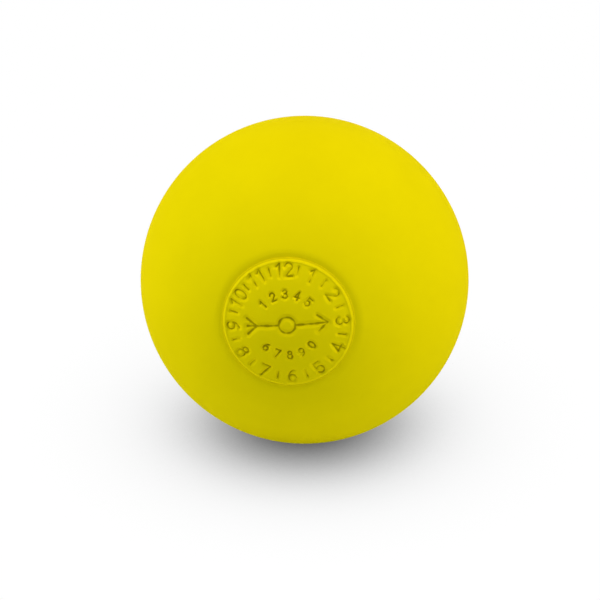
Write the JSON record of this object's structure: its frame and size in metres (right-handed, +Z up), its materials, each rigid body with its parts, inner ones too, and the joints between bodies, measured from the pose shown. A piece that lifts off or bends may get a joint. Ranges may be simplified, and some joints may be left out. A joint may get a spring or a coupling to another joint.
{
  "type": "lacrosse ball",
  "caption": "Solid rubber lacrosse ball with a matte ground skin and a round badge with a moulded number dial.",
  "frame": {"origin": "centre of the ball", "axes": "+Z up as the ball lies at rest, -Y towards the side with the badge, which looks up by 12.7 degrees, +X to the right as seen from that side"},
  "size_m": [0.0634, 0.0634, 0.0634],
  "materials": {
    "cover_rubber": "vulcanised rubber, ground matte, warm lemon yellow",
    "badge_rubber": "vulcanised rubber as it leaves the mould, satin, warm lemon yellow",
    "core_rubber": "filled rubber compound, dull tan"
  },
  "bodies": {
    "root": {"core": "core_rubber", "cover_front": "cover_rubber", "cover_back": "cover_rubber", "badge": "badge_rubber"}
  },
  "joints": []
}
